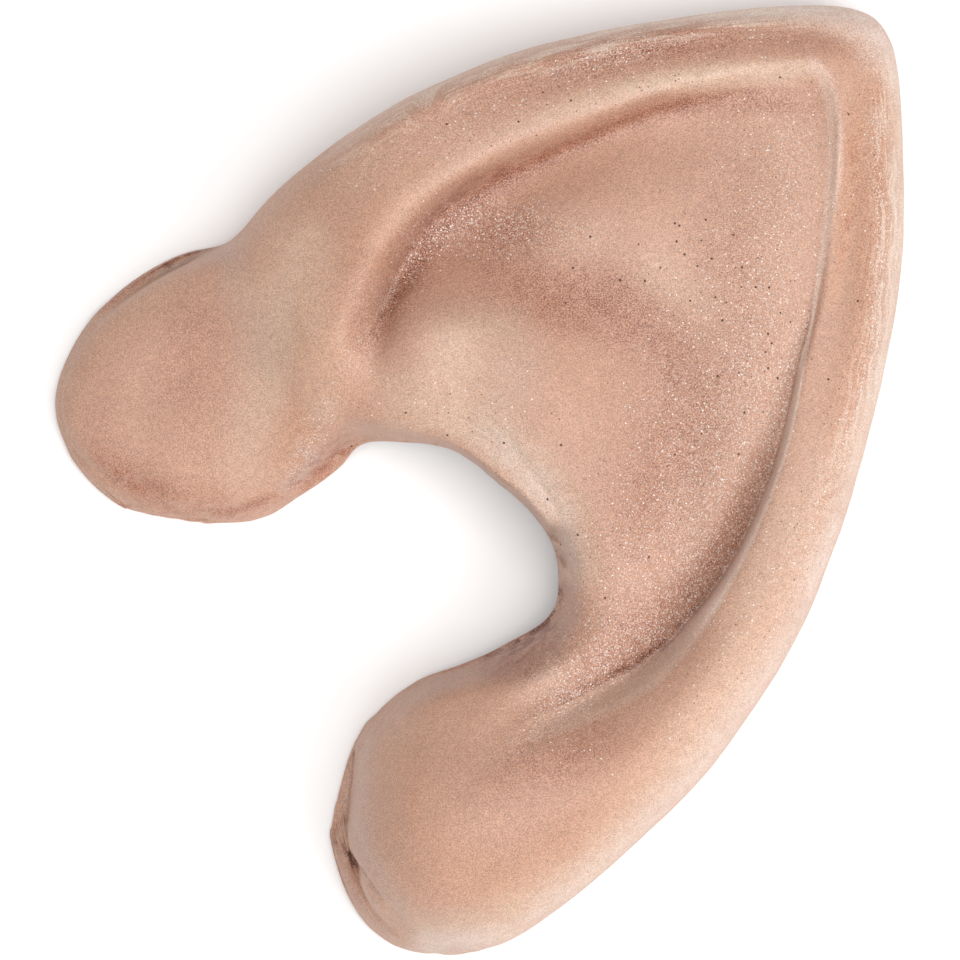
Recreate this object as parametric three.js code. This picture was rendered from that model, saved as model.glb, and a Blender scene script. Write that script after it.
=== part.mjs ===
// An ear tip for a left ear: one thin skin of rubber, sculpted in front and plain behind,
// that slips over the top of the wearer's own ear. It lies on its back, with its point to
// the upper right. Millimetres, +Z up, origin under the middle of the part.
//
// The skin is lofted through a fan of upright sections. Each section runs outwards from
// the middle of the cut-out, where the wearer's ear canal shows, at an angle from +X.
// It climbs from the free front edge over the folds to the rim, turns round the rim's
// side and comes back underneath to the free back edge.
import * as THREE from "three";

// Driving dimensions
const MOUTH_RADIUS = 12.2; // middle of the cut-out to its edge, below the point
const TIP_SPAN = 60.2; // edge of the cut-out to the point
const DEPTH = 20; // table to the highest place, on the lower lobe
const WALL = 1.6; // thickness of the skin
const FLASH_WIDTH = 1.7; // ledge that the mould leaves round the free edge
const FLASH_THICKNESS = 1.2;
const EDGE_RUN = 2.4; // widest slope between that ledge and the sculpted front
const LOBE_CORNER = 4.5; // plan radius of the corners at the ends of the lobes
const TURN_RADIUS = 9; // how far the rim's turn underneath reaches in

const SKIN_COLOUR = 0xdcb09a;
const SKIN_ROUGHNESS = 0.55;

// Plan of the section at each angle: the cut-out's edge as a share of MOUTH_RADIUS, and
// the width from there to the outer edge as a share of TIP_SPAN.
// Rows run from the lower lobe, round the point, to the front lobe.
const outline = sectionTable(
  ["inner", "span"],
  [
    [-105.3, 1.8, 0.09],
    [-104, 1.44, 0.195],
    [-102, 1.34, 0.252],
    [-100, 1.28, 0.299],
    [-96, 1.18, 0.369],
    [-91, 1.08, 0.424],
    [-85, 1.02, 0.455],
    [-76, 0.965, 0.463],
    [-64, 0.963, 0.435],
    [-50, 1.01, 0.404],
    [-38, 1.085, 0.396],
    [-27, 1.21, 0.383],
    [-20, 1.3, 0.379],
    [-14, 1.312, 0.396],
    [-6, 1.283, 0.429],
    [4, 1.255, 0.48],
    [14, 1.185, 0.558],
    [24, 1.109, 0.669],
    [34, 1.045, 0.801],
    [40, 1.015, 0.886],
    [44, 1.005, 0.95],
    [46.5, 1, 0.987],
    [49, 1, 1],
    [51.5, 1, 0.979],
    [56, 1, 0.912],
    [64, 1.002, 0.8],
    [76, 0.98, 0.682],
    [90, 0.963, 0.571],
    [101, 0.995, 0.492],
    [109, 1.008, 0.445],
    [114, 0.975, 0.423],
    [118, 0.94, 0.417],
    [124, 0.918, 0.444],
    [133, 0.91, 0.469],
    [146, 0.975, 0.462],
    [156, 1.06, 0.419],
    [162, 1.15, 0.353],
    [166, 1.3, 0.274],
    [168.5, 1.5, 0.19],
    [169.7, 1.72, 0.11],
  ],
);

// Where each fold crosses the section, as a share of its width from the cut-out's edge:
// the soft inner fold, the valley behind it, the swell of the hollow's floor, the foot of
// the rim, the rim's inner brim, the channel along the rim, and the rim's shoulder.
const foldPlaces = sectionTable(
  ["fold", "valley", "swell", "foot", "brim", "channel", "shoulder"],
  [
    [-105, 0.2, 0.3, 0.4, 0.5, 0.6, 0.72, 0.84],
    [-88, 0.2, 0.29, 0.37, 0.45, 0.53, 0.67, 0.83],
    [-68, 0.19, 0.28, 0.35, 0.42, 0.49, 0.66, 0.85],
    [-50, 0.18, 0.28, 0.34, 0.4, 0.45, 0.67, 0.86],
    [-38, 0.2, 0.29, 0.35, 0.4, 0.5, 0.7, 0.87],
    [-26, 0.235, 0.345, 0.41, 0.465, 0.55, 0.715, 0.88],
    [-16, 0.245, 0.375, 0.455, 0.53, 0.595, 0.74, 0.89],
    [-6, 0.24, 0.4, 0.5, 0.63, 0.662, 0.765, 0.9],
    [4, 0.215, 0.42, 0.54, 0.682, 0.71, 0.8, 0.905],
    [14, 0.178, 0.424, 0.564, 0.727, 0.752, 0.814, 0.91],
    [24, 0.164, 0.409, 0.596, 0.744, 0.768, 0.82, 0.915],
    [32, 0.15, 0.386, 0.577, 0.768, 0.793, 0.84, 0.925],
    [40, 0.144, 0.36, 0.537, 0.808, 0.831, 0.874, 0.94],
    [45, 0.14, 0.338, 0.5, 0.83, 0.856, 0.9, 0.956],
    [49, 0.141, 0.319, 0.484, 0.828, 0.879, 0.936, 0.97],
    [54, 0.155, 0.326, 0.51, 0.8, 0.858, 0.93, 0.966],
    [60, 0.182, 0.351, 0.552, 0.771, 0.827, 0.922, 0.962],
    [68, 0.233, 0.37, 0.567, 0.71, 0.776, 0.915, 0.957],
    [76, 0.268, 0.39, 0.537, 0.673, 0.74, 0.895, 0.952],
    [84, 0.3, 0.415, 0.535, 0.625, 0.69, 0.868, 0.945],
    [90, 0.3, 0.42, 0.47, 0.53, 0.66, 0.855, 0.94],
    [96, 0.2, 0.27, 0.33, 0.4, 0.57, 0.845, 0.93],
    [104, 0.18, 0.24, 0.3, 0.36, 0.46, 0.77, 0.91],
    [112, 0.2, 0.26, 0.32, 0.39, 0.46, 0.67, 0.9],
    [122, 0.21, 0.28, 0.35, 0.42, 0.5, 0.68, 0.9],
    [136, 0.22, 0.31, 0.41, 0.51, 0.62, 0.78, 0.94],
    [158, 0.22, 0.32, 0.42, 0.53, 0.64, 0.79, 0.945],
    [165, 0.23, 0.33, 0.43, 0.53, 0.64, 0.78, 0.915],
    [169, 0.24, 0.34, 0.44, 0.54, 0.65, 0.78, 0.9],
  ],
);

// Height of the front at each of those places, and of the rim's widest side, as a share
// of DEPTH. The edge is the brink of the sculpted front, above the free edge's ledge.
const foldHeights = sectionTable(
  ["edge", "fold", "valley", "swell", "foot", "brim", "channel", "shoulder", "side"],
  [
    [-105, 0.17, 0.2, 0.22, 0.23, 0.24, 0.24, 0.23, 0.21, 0.08],
    [-102, 0.22, 0.29, 0.33, 0.35, 0.365, 0.365, 0.35, 0.3, 0.09],
    [-99, 0.29, 0.4, 0.46, 0.5, 0.52, 0.525, 0.5, 0.4, 0.1],
    [-95, 0.39, 0.53, 0.61, 0.66, 0.69, 0.7, 0.67, 0.54, 0.14],
    [-90, 0.51, 0.655, 0.735, 0.79, 0.825, 0.835, 0.815, 0.67, 0.23],
    [-84, 0.6, 0.735, 0.805, 0.86, 0.895, 0.92, 0.9, 0.755, 0.37],
    [-76, 0.65, 0.775, 0.84, 0.895, 0.935, 0.965, 0.96, 0.8, 0.46],
    [-62, 0.66, 0.785, 0.85, 0.9, 0.945, 0.98, 1, 0.86, 0.53],
    [-50, 0.65, 0.755, 0.79, 0.825, 0.86, 0.91, 1, 0.88, 0.54],
    [-38, 0.64, 0.73, 0.73, 0.725, 0.735, 0.83, 0.97, 0.89, 0.54],
    [-26, 0.67, 0.75, 0.71, 0.67, 0.63, 0.82, 0.94, 0.88, 0.53],
    [-16, 0.69, 0.76, 0.69, 0.62, 0.57, 0.81, 0.91, 0.85, 0.5],
    [-6, 0.705, 0.77, 0.68, 0.61, 0.54, 0.8, 0.87, 0.82, 0.48],
    [4, 0.72, 0.79, 0.66, 0.64, 0.54, 0.79, 0.835, 0.79, 0.45],
    [14, 0.73, 0.81, 0.65, 0.67, 0.59, 0.765, 0.785, 0.75, 0.42],
    [24, 0.735, 0.83, 0.65, 0.685, 0.63, 0.715, 0.71, 0.7, 0.39],
    [34, 0.74, 0.84, 0.655, 0.69, 0.63, 0.665, 0.63, 0.63, 0.35],
    [43, 0.74, 0.85, 0.66, 0.695, 0.59, 0.63, 0.57, 0.55, 0.31],
    [49, 0.74, 0.85, 0.67, 0.69, 0.54, 0.62, 0.53, 0.49, 0.28],
    [55, 0.74, 0.85, 0.67, 0.69, 0.53, 0.66, 0.57, 0.55, 0.33],
    [62, 0.735, 0.85, 0.67, 0.67, 0.535, 0.72, 0.62, 0.61, 0.38],
    [70, 0.73, 0.85, 0.66, 0.57, 0.53, 0.78, 0.67, 0.66, 0.42],
    [78, 0.73, 0.85, 0.66, 0.49, 0.52, 0.83, 0.72, 0.71, 0.44],
    [85, 0.725, 0.84, 0.67, 0.5, 0.52, 0.86, 0.76, 0.74, 0.45],
    [90, 0.71, 0.81, 0.7, 0.6, 0.56, 0.89, 0.775, 0.75, 0.45],
    [96, 0.68, 0.75, 0.73, 0.69, 0.66, 0.9, 0.77, 0.73, 0.44],
    [104, 0.64, 0.71, 0.745, 0.78, 0.82, 0.85, 0.75, 0.67, 0.4],
    [112, 0.565, 0.67, 0.71, 0.745, 0.775, 0.79, 0.71, 0.61, 0.34],
    [120, 0.485, 0.57, 0.6, 0.63, 0.65, 0.655, 0.6, 0.51, 0.24],
    [128, 0.4, 0.48, 0.495, 0.5, 0.5, 0.49, 0.46, 0.4, 0.15],
    [138, 0.33, 0.4, 0.42, 0.425, 0.42, 0.4, 0.37, 0.3, 0.1],
    [147, 0.27, 0.335, 0.355, 0.36, 0.36, 0.345, 0.32, 0.25, 0.09],
    [155, 0.23, 0.295, 0.32, 0.33, 0.33, 0.31, 0.28, 0.215, 0.08],
    [160, 0.2, 0.26, 0.285, 0.295, 0.295, 0.275, 0.25, 0.185, 0.08],
    [164, 0.165, 0.205, 0.225, 0.235, 0.235, 0.22, 0.2, 0.16, 0.08],
    [169, 0.12, 0.135, 0.145, 0.15, 0.15, 0.145, 0.135, 0.12, 0.08],
  ],
);

// The free edges: height of the front edge's ledge as a share of DEPTH, width of that
// ledge as a share of FLASH_WIDTH, slope above it as a share of EDGE_RUN, width of the
// ledge outside the lobes as a share of FLASH_WIDTH, how far the outer edge is turned
// from that ledge (0) to a rim that wraps round to the back (1), and how far the back
// reaches in from the outer edge, as a share of the section's width.
const freeEdges = sectionTable(
  ["lip", "flash", "run", "outerFlash", "wrap", "back"],
  [
    [-105, 0, 0.5, 0.5, 0.9, 0, 0.05],
    [-97, 0, 0.35, 0.5, 1, 0, 0.05],
    [-90, 0, 0.3, 0.5, 0.6, 0, 0.05],
    [-84, 0, 0.3, 0.5, 0.25, 0.3, 0.07],
    [-78, 0.08, 0.3, 0.5, 0.1, 0.85, 0.14],
    [-70, 0.11, 0.3, 0.6, 0.1, 1, 0.22],
    [-56, 0.16, 0.3, 0.8, 0.1, 1, 0.36],
    [-42, 0.2, 0.35, 1, 0.1, 1, 0.46],
    [-30, 0.25, 0.4, 1, 0.1, 1, 0.54],
    [-20, 0.3, 0.45, 0.8, 0.1, 1, 0.6],
    [-8, 0.34, 0.5, 0.5, 0.1, 1, 0.63],
    [10, 0.37, 0.5, 0.45, 0.1, 1, 0.66],
    [49, 0.4, 0.4, 0.4, 0.1, 1, 0.73],
    [62, 0.4, 0.35, 0.35, 0.1, 1, 0.67],
    [76, 0.38, 0.35, 0.35, 0.1, 1, 0.57],
    [90, 0.33, 0.35, 0.4, 0.1, 1, 0.44],
    [100, 0.26, 0.4, 0.5, 0.1, 1, 0.3],
    [108, 0.19, 0.5, 0.7, 0.1, 1, 0.18],
    [114, 0.14, 0.65, 0.8, 0.15, 0.85, 0.1],
    [119, 0.1, 0.75, 0.8, 0.3, 0.35, 0.06],
    [125, 0, 0.8, 0.75, 0.65, 0, 0.05],
    [134, 0, 0.8, 0.6, 0.7, 0, 0.05],
    [150, 0, 0.9, 0.42, 0.35, 0, 0.05],
    [162, 0, 1, 0.42, 0.5, 0, 0.05],
    [169, 0, 0.9, 0.45, 0.8, 0, 0.05],
  ],
);

const LOWER_END = -105.3; // angle of the section that closes the lower lobe
const FRONT_END = 169.7; // angle of the section that closes the front lobe

// Ledge across the end of each lobe, at the cut-out and at the outer edge, as a share of
// FLASH_WIDTH
const lowerLobe = { end: LOWER_END, nearLedge: 0.3, farLedge: 1.2 };
const frontLobe = { end: FRONT_END, nearLedge: 0.8, farLedge: 0.8 };

// Distances from the end of a lobe to the sections that shape its ledge and its wall
const END_LEDGE = 1.4;
const endSections = [0, 0.15, 0.4, 0.65, 0.9, 1.15, END_LEDGE, 1.55, 1.85, 2.3, 3, 4.2];

// Steps between the other sections, closest round the point
const fanSteps = [
  { until: -74, steps: 6 },
  { until: -34, steps: 6 },
  { until: 30, steps: 11 },
  { until: 42, steps: 3 },
  { until: 56, steps: 8 },
  { until: 68, steps: 3 },
  { until: 104, steps: 7 },
  { until: 126, steps: 6 },
  { until: 150, steps: 3 },
];

// Steps along the section between neighbouring places of its profile
const profileSteps = [1, 1, 1, 1, 3, 3, 3, 4, 2, 2, 2, 3, 3, 3, 2, 2];

// Where the inside lies from the outside at each fold, as shares of WALL: outwards along
// the section, and down.
const insideShifts = {
  fold: { along: 0.25, down: 1 },
  valley: { along: 0, down: 1.05 },
  swell: { along: 0, down: 1.05 },
  foot: { along: 0.5, down: 1.05 },
  brim: { along: 1, down: 1.05 },
  channel: { along: 0.3, down: 1.05 },
  shoulder: { along: -0.5, down: 0.85 },
};
const folds = Object.keys(insideShifts);

const FLASH_BEVEL = 0.15; // lean of the ledge's own narrow edge
const WIDEST_LEDGE = 1 / 12; // of a section's width, where the lobe narrows to its end
const WIDEST_RUN = 1 / 10; // the same for the slope above the ledge
const BRINK_START = 1 / 3; // first place on that slope, as a share of it
const CORNER_REACH = 12; // distance from the end over which sections bend with the corners
const CAVITY_INSET = 3.9; // end of a lobe to the end of the hollow inside it
const CAVITY_EASE = 13; // distance from that end over which the inside keeps away from it
const CAVITY_RUN = 0.8; // rounding where the hollow's walls meet its roof
const CAVITY_LEAN = 0.05; // lean of the hollow's walls between neighbouring places
const BRINK_SHIFT = 0.7; // inside of the brink, in from it and down, as a share of WALL
const nearWallStops = [0.2, 0.5, 0.8]; // places up the hollow's near wall
const farWallStops = [0.85, 0.6, 0.35, 0.15, 0]; // and down its far wall
const roundStops = [0.35, 0.65, 0.85]; // places along the rim's turn, under a narrow back
const flatStops = [0.5, 1]; // and under a back that runs on flat
const DIRECTION_STEP = 0.1; // short way along a path that shows its direction

// Returns a function that gives the named columns at any angle, smoothly between rows.
function sectionTable(columns, rows) {
  const angles = rows.map((row) => row[0]);
  const values = rows.flatMap((row) => row.slice(1));
  const curve = new THREE.CubicInterpolant(angles, values, columns.length);
  return (angle) => {
    const found = curve.evaluate(angle);
    return Object.fromEntries(columns.map((name, i) => [name, found[i]]));
  };
}

function sectionWidth(angle) {
  return TIP_SPAN * outline(angle).span;
}

function innerRadius(angle) {
  return MOUTH_RADIUS * outline(angle).inner;
}

function nearerLobe(angle) {
  return angle < (LOWER_END + FRONT_END) / 2 ? lowerLobe : frontLobe;
}

// Lengths round the end of a lobe are measured along the middle of the skin.
function lobeArm(end) {
  return innerRadius(end) + sectionWidth(end) / 2;
}

function distanceFromEnd(angle) {
  const { end } = nearerLobe(angle);
  return THREE.MathUtils.degToRad(Math.abs(end - angle)) * lobeArm(end);
}

function angleFromEnd({ end }, distance) {
  return end - Math.sign(end) * THREE.MathUtils.radToDeg(distance / lobeArm(end));
}

// Share of its full height that a wall has at a distance in from its foot. Its top is
// rounded over.
function wallRise(distance, run) {
  const short = 1 - THREE.MathUtils.clamp(distance / run, 0, 1);
  return 1 - short * short;
}

// How far a line along the end of a lobe falls back at its round corner.
function cornerFall(fromSide, corner) {
  const short = corner - THREE.MathUtils.clamp(fromSide, 0, corner);
  return corner - Math.sqrt(corner * corner - short * short);
}

// What the outside and the inside of one section have in common.
function sectionLayout(angle) {
  const near = innerRadius(angle);
  const width = sectionWidth(angle);
  const edge = freeEdges(angle);
  const wrap = THREE.MathUtils.clamp(edge.wrap, 0, 1);
  const lip = Math.max(FLASH_THICKNESS, DEPTH * edge.lip);
  return {
    near,
    width,
    far: near + width,
    lip,
    base: lip - FLASH_THICKNESS,
    flash: Math.min(FLASH_WIDTH * edge.flash, width * WIDEST_LEDGE),
    run: Math.min(EDGE_RUN * edge.run, width * WIDEST_RUN),
    ledge: Math.min(FLASH_WIDTH * edge.outerFlash, width * WIDEST_LEDGE),
    wrap,
    reach: width * Math.max(edge.back, 0.05),
    places: foldPlaces(angle),
    heights: foldHeights(angle),
  };
}

// Path of the rim underneath: down from its side, round the turn and flat to the back's
// free edge, set in by a depth. Gives the side and four places along the path.
function backPath({ far, reach, heights }, depth) {
  const side = DEPTH * heights.side;
  const turn = Math.min(reach, TURN_RADIUS);
  const flat = reach - turn;
  const sweep = (Math.PI / 2) * (turn / TURN_RADIUS);
  const arc = Math.hypot(side, turn);
  const at = (along) => {
    const swept = sweep * Math.min(along / arc, 1);
    const inwards = (turn * (1 - Math.cos(swept))) / (1 - Math.cos(sweep));
    const down = (side * Math.sin(swept)) / Math.sin(sweep);
    return new THREE.Vector2(far - inwards - Math.max(0, along - arc), side - down);
  };
  const onFlat = THREE.MathUtils.smoothstep(flat, 0, TURN_RADIUS / 2);
  const distances = [
    0,
    arc * THREE.MathUtils.lerp(roundStops[0], flatStops[0], onFlat),
    arc * THREE.MathUtils.lerp(roundStops[1], flatStops[1], onFlat),
    THREE.MathUtils.lerp(arc * roundStops[2], arc + flat / 2, onFlat),
    arc + flat,
  ];
  return distances.map((along) => {
    const ahead = at(along + DIRECTION_STEP).sub(at(along - DIRECTION_STEP)).normalize();
    const inwards = new THREE.Vector2(ahead.y, -ahead.x);
    return at(along).addScaledVector(inwards, depth).toArray();
  });
}

// The outer edge steps down to a ledge or wraps round to the back.
function blendedEdge(stepped, wrapped, wrap) {
  return stepped.map(([r, z], i) => [
    THREE.MathUtils.lerp(r, wrapped[i][0], wrap),
    THREE.MathUtils.lerp(z, wrapped[i][1], wrap),
  ]);
}

// Places along the outside of one section, each a distance from the middle of the
// cut-out and a height, for a section at a distance from the end of its lobe.
function outsidePlaces(angle, fromEnd) {
  const layout = sectionLayout(angle);
  const { near, width, far, lip, base, flash, run, ledge, wrap } = layout;

  // A place of the sculpted front, which falls to the ledge along its free edges.
  const raised = (r, share) => {
    const fromSide = Math.min(r - near - flash, far - ledge - r + wrap * width);
    const rise = Math.min(wallRise(fromSide, run), wallRise(fromEnd - END_LEDGE, EDGE_RUN / 2));
    return [r, THREE.MathUtils.lerp(lip, Math.max(DEPTH * share, lip), rise)];
  };

  const { places, heights } = layout;
  const front = [
    [near, base],
    [near + FLASH_BEVEL, lip],
    [near + flash, lip],
    raised(near + flash + run * BRINK_START, heights.edge),
    raised(near + flash + run, heights.edge),
    ...folds.map((name) => raised(near + width * places[name], heights[name])),
  ];
  const stepped = [
    [far - ledge, lip],
    [far - ledge / 2, lip],
    [far - FLASH_BEVEL, lip],
    [far - FLASH_BEVEL / 2, lip / 2],
    [far, 0],
  ];
  const outer = blendedEdge(stepped, backPath(layout, 0), wrap);
  return [...front, ...outer].map(([r, z]) => [r, fromEnd > 0 ? z : 0]);
}

// How far the outside's section is bent back at a distance from the cut-out's middle.
function outsideBend(angle, fromEnd, r) {
  const { near, width, far, flash, ledge } = sectionLayout(angle);
  const { nearLedge, farLedge } = nearerLobe(angle);
  const across = THREE.MathUtils.clamp((r - near) / width, 0, 1);
  const endLedge = FLASH_WIDTH * THREE.MathUtils.lerp(nearLedge, farLedge, across);
  const fromSide = Math.min(r - near - flash, far - ledge - r);
  const fall = cornerFall(fromSide, LOBE_CORNER) + endLedge - END_LEDGE;
  const started = THREE.MathUtils.smoothstep(fromEnd, 0, END_LEDGE);
  return fall * started * (1 - THREE.MathUtils.smoothstep(fromEnd, END_LEDGE, CORNER_REACH));
}

// The same places along the inside, set in by the thickness of the skin. The distance is
// from the end of the hollow.
function insidePlaces(angle, fromEnd) {
  const layout = sectionLayout(angle);
  const { near, width, far, base, flash, run, ledge, wrap, places, heights } = layout;
  const nearFoot = near + flash + WALL;
  const farFoot = far - ledge - WALL;

  const endRise = wallRise(fromEnd, CAVITY_RUN);
  const raised = (r, z) => {
    const fromSide = Math.min(r - nearFoot, farFoot - r + wrap * width);
    const rise = Math.min(wallRise(fromSide, CAVITY_RUN), endRise);
    return [r, THREE.MathUtils.lerp(base, Math.max(z, base), rise)];
  };
  const roof = (name) => {
    const r = near + width * places[name] + WALL * insideShifts[name].along;
    const inmost = Math.min(r, farFoot - CAVITY_RUN / 2 + wrap * width);
    return raised(inmost, DEPTH * heights[name] - WALL * insideShifts[name].down);
  };

  const brinkDepth = WALL * BRINK_SHIFT;
  const brink = raised(near + flash + run + brinkDepth, DEPTH * heights.edge - brinkDepth);
  const roofs = folds.map(roof);
  const shoulder = roofs[roofs.length - 1];
  const front = [
    [nearFoot, base],
    ...nearWallStops.map((share, i) => [
      nearFoot + CAVITY_LEAN * (i + 1),
      THREE.MathUtils.lerp(base, brink[1], share),
    ]),
    brink,
    ...roofs,
  ];
  const stepped = farWallStops.map((share, i) => {
    const lean = CAVITY_LEAN * (farWallStops.length - 1 - i);
    return [THREE.MathUtils.lerp(farFoot - lean, shoulder[0], share), shoulder[1] * share];
  });
  return [...front, ...blendedEdge(stepped, backPath(layout, WALL), wrap)];
}

function insideBend(angle, fromEnd, r) {
  const { near, far, flash, ledge } = sectionLayout(angle);
  const fromSide = Math.min(r - near - flash, far - ledge - r) - WALL;
  const fall = cornerFall(fromSide, LOBE_CORNER - WALL);
  const started = THREE.MathUtils.smoothstep(fromEnd, 0, CAVITY_RUN);
  return fall * started * (1 - THREE.MathUtils.smoothstep(fromEnd, CAVITY_RUN, CORNER_REACH));
}

// Where the points of a section lie along its profile, from 0 to 1.
function profileShares() {
  const spans = profileSteps.length;
  const shares = [0];
  profileSteps.forEach((steps, i) => {
    for (let k = 1; k <= steps; k++) shares.push((i + k / steps) / spans);
  });
  return shares;
}

// A smooth curve through the places of a section.
function profileThrough(places) {
  const points = places.map(([r, z]) => new THREE.Vector3(r, 0, z));
  return new THREE.CatmullRomCurve3(points, false, "centripetal");
}

// Points along one section. Near the end of a lobe it is bent back towards the corners.
function sectionPoints(angle, fromEnd, placesOf, bendOf) {
  const straight = profileThrough(placesOf(angle, fromEnd));
  const { end } = nearerLobe(angle);
  const upright = new THREE.Vector3(0, 0, 1);
  return profileShares().map((share) => {
    const point = straight.getPoint(share);
    const bend = bendOf(angle, fromEnd, point.x);
    const turn = THREE.MathUtils.radToDeg(bend / lobeArm(end)) * -Math.sign(end);
    if (bend !== 0) profileThrough(placesOf(angle + turn, fromEnd)).getPoint(share, point);
    point.z = Math.max(point.z, 0);
    return point.applyAxisAngle(upright, THREE.MathUtils.degToRad(angle + turn));
  });
}

function sectionAngles() {
  const angles = endSections.map((distance) => angleFromEnd(lowerLobe, distance));
  for (const { until, steps } of fanSteps) {
    const from = angles[angles.length - 1];
    for (let k = 1; k <= steps; k++) angles.push(THREE.MathUtils.lerp(from, until, k / steps));
  }
  const last = endSections.map((distance) => angleFromEnd(frontLobe, distance));
  return [...angles, ...last.reverse()];
}

function outsideRow(angle) {
  return sectionPoints(angle, distanceFromEnd(angle), outsidePlaces, outsideBend);
}

// The row of the inside that goes with one of the outside, further from the lobe's end.
function insideRow(angle) {
  const distance = distanceFromEnd(angle);
  const ease = Math.max(0, 1 - distance / CAVITY_EASE);
  const moved = distance + CAVITY_INSET * ease * ease;
  const insideAngle = angleFromEnd(nearerLobe(angle), moved);
  return sectionPoints(insideAngle, moved - CAVITY_INSET, insidePlaces, insideBend);
}

// A closed skin between two grids of points, joined along their four edges.
function skinGeometry(outside, inside) {
  const across = outside[0].length;
  const last = outside.length - 1;
  const count = outside.length * across;
  const indices = [];
  for (let i = 0; i < last; i++)
    for (let j = 0; j + 1 < across; j++) {
      const a = i * across + j;
      const b = a + across;
      indices.push(a, a + 1, b + 1, a, b + 1, b);
      indices.push(a + count, b + 1 + count, a + 1 + count);
      indices.push(a + count, b + count, b + 1 + count);
    }
  const join = (a, b) => indices.push(b, a, a + count, b, a + count, b + count);
  for (let j = 0; j + 1 < across; j++) {
    join(j, j + 1);
    join(last * across + j + 1, last * across + j);
  }
  for (let i = 0; i < last; i++) {
    join((i + 1) * across, i * across);
    join(i * across + across - 1, (i + 1) * across + across - 1);
  }
  return new THREE.BufferGeometry()
    .setFromPoints([...outside.flat(), ...inside.flat()])
    .setIndex(indices);
}

// Puts the middle of the geometry's base at the origin.
function centredOnBase(geometry) {
  geometry.computeBoundingBox();
  const { min, max } = geometry.boundingBox;
  return geometry.translate(-(min.x + max.x) / 2, -(min.y + max.y) / 2, -min.z);
}

function earSkin() {
  const angles = sectionAngles();
  const skin = skinGeometry(angles.map(outsideRow), angles.map(insideRow));
  const geometry = centredOnBase(skin);
  geometry.computeVertexNormals();
  const rubber = new THREE.MeshStandardMaterial({
    color: SKIN_COLOUR,
    roughness: SKIN_ROUGHNESS,
    metalness: 0,
  });
  const mesh = new THREE.Mesh(geometry, rubber);
  mesh.name = "ear_skin";
  return mesh;
}

const earTip = new THREE.Group();
earTip.add(earSkin());

export default earTip;
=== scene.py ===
# %% [markdown]
# # A cast rubber elf ear tip
# The real thing slips over the top of the wearer's own ear: one thin, hollow skin of latex
# rubber. Liquid latex was poured into a plaster mould, left until a skin had set, and poured out
# again. The rubber was tinted to a flesh tone, and brown and pale tints were then washed and
# sprayed over the front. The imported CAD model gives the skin's true shape and place, so it is
# loaded first, and everything below is built on it.

# %% Load the fixed frame
import math

import bmesh
import bpy
import numpy as np
from mathutils import Matrix, Vector, noise
from mathutils.bvhtree import BVHTree


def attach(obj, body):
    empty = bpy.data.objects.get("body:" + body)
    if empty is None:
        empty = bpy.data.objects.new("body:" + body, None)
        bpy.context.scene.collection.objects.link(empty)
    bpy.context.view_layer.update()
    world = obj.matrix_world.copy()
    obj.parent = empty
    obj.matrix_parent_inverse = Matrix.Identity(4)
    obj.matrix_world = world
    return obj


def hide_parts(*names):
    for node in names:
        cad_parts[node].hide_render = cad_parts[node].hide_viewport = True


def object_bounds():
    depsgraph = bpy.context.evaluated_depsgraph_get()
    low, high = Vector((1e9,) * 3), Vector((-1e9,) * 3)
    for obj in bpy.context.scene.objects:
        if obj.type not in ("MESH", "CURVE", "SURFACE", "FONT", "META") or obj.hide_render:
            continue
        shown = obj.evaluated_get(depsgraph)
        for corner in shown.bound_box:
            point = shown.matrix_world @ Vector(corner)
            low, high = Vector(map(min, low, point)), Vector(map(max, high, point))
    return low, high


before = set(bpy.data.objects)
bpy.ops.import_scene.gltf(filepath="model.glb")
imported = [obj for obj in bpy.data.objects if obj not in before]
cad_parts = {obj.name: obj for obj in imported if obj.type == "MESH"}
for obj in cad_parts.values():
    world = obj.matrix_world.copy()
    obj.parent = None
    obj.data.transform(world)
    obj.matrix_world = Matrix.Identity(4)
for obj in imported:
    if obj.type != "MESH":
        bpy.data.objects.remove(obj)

cad_low, cad_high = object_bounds()

# %% [markdown]
# Every size below follows the frame. The tip is 95.3 mm long, so one millimetre is that share of
# the box's length. Places on the tip are given in millimetres from its middle, seen from above:
# x to the right and y up towards the point.

# %% Work out a millimetre of this frame
TIP_LENGTH_MM = 95.3
MM = (cad_high.y - cad_low.y) / TIP_LENGTH_MM
middle = (cad_low + cad_high) / 2
print("one millimetre is", round(MM, 6), "m; the box is",
      [round(side / MM, 1) for side in (cad_high - cad_low)], "mm")

# %% [markdown]
# ## The skin
# The CAD solid is a low, faceted skin. It could be remeshed with voxels, but its rows of points
# already run along the folds of the ear, and a remesh would lose them. So a copy is merged, its
# triangle pairs are joined back into four-sided faces, and two steps of subdivision round it.

# %% Merge a copy of the CAD skin
MERGE_MM = .0005
STEEPEST_FOLD = math.radians(40)
MOST_SKEW = math.radians(60)

shell = bmesh.new()
shell.from_mesh(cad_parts["ear_skin"].data)
bmesh.ops.remove_doubles(shell, verts=shell.verts, dist=MERGE_MM * MM)
bmesh.ops.join_triangles(
    shell, faces=shell.faces, angle_face_threshold=STEEPEST_FOLD,
    angle_shape_threshold=MOST_SKEW, cmp_seam=False, cmp_sharp=False,
    cmp_uvs=False, cmp_vcols=False, cmp_materials=False)
print("merged skin:", len(shell.verts), "points,", len(shell.faces), "faces, of which",
      sum(len(face.verts) == 4 for face in shell.faces), "have four sides")
faceted = bpy.data.meshes.new("faceted_skin")
shell.to_mesh(faceted)
shell.free()
skin = bpy.data.objects.new("cast_skin", faceted)
bpy.context.scene.collection.objects.link(skin)

# %% Round it
SUBDIVISION_STEPS = 2

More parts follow.
